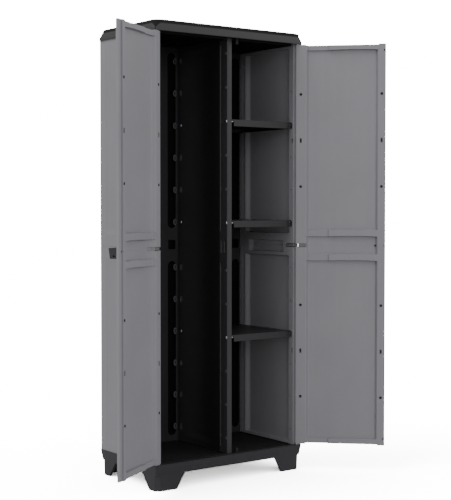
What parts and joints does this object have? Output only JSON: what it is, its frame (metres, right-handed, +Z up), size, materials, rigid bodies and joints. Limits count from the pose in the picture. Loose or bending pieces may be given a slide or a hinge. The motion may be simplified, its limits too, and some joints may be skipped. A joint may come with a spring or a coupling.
{
  "type": "storage cabinet",
  "caption": "Tall resin garden cabinet with a broom side, a shelf side, hinged doors, a dark cap and a base on feet.",
  "frame": {"origin": "on the ground under the middle of the base", "axes": "+X to the right seen from the front, +Y to the back, +Z up"},
  "size_m": [1.2203, 0.6388, 1.735],
  "materials": {
    "grey_resin": "satin grain",
    "cover_resin": "satin grain",
    "base_resin": "satin grain",
    "shelf_resin": "satin grain",
    "black_resin": "satin",
    "black_metal": "black",
    "steel": "zinc plated"
  },
  "bodies": {
    "cabinet": {"base": "base_resin", "top_cover": "cover_resin", "left_side_lower": "grey_resin", "left_side_upper": "grey_resin", "right_side_lower": "grey_resin", "right_side_upper": "grey_resin", "back_left_lower": "black_resin", "back_left_upper": "black_resin", "back_right_lower": "black_resin", "back_right_upper": "black_resin", "divider_lower": "shelf_resin", "divider_upper": "shelf_resin", "shelf_pegs": "steel", "door_catches": "black_resin", "rear_screws": "steel", "left_hinge_plate": "grey_resin", "right_hinge_plate": "grey_resin"},
    "lower_shelf": {"lower_shelf": "shelf_resin"},
    "middle_shelf": {"middle_shelf": "shelf_resin"},
    "upper_shelf": {"upper_shelf": "shelf_resin"},
    "left_door": {"left_door_lower": "grey_resin", "left_door_upper": "grey_resin", "left_handle": "black_resin", "left_door_pivots": "steel", "left_door_leaf": "grey_resin", "left_hinge_pin": "black_metal", "left_handle_screw": "black_metal"},
    "right_door": {"right_door_lower": "grey_resin", "right_door_upper": "grey_resin", "right_handle": "black_resin", "right_door_pivots": "steel", "right_door_leaf": "grey_resin", "right_hinge_pin": "black_metal", "right_handle_screw": "black_metal"}
  },
  "joints": [
    {"name": "left_door_hinge", "type": "hinge", "parent": "cabinet", "child": "left_door", "pos_m": [-0.3306, -0.189, 0.8978], "axis": [0, 0, -1], "range_deg": [-147.7, 32.3]},
    {"name": "right_door_hinge", "type": "hinge", "parent": "cabinet", "child": "right_door", "pos_m": [0.3306, -0.189, 0.8978], "axis": [0, 0, 1], "range_deg": [-136.3, 43.7]},
    {"name": "lower_shelf_lift", "type": "slide", "parent": "cabinet", "child": "lower_shelf", "axis": [0, 0, 1], "range_m": [0, 0.02]},
    {"name": "middle_shelf_lift", "type": "slide", "parent": "cabinet", "child": "middle_shelf", "axis": [0, 0, 1], "range_m": [0, 0.02]},
    {"name": "upper_shelf_lift", "type": "slide", "parent": "cabinet", "child": "upper_shelf", "axis": [0, 0, 1], "range_m": [0, 0.02]}
  ]
}
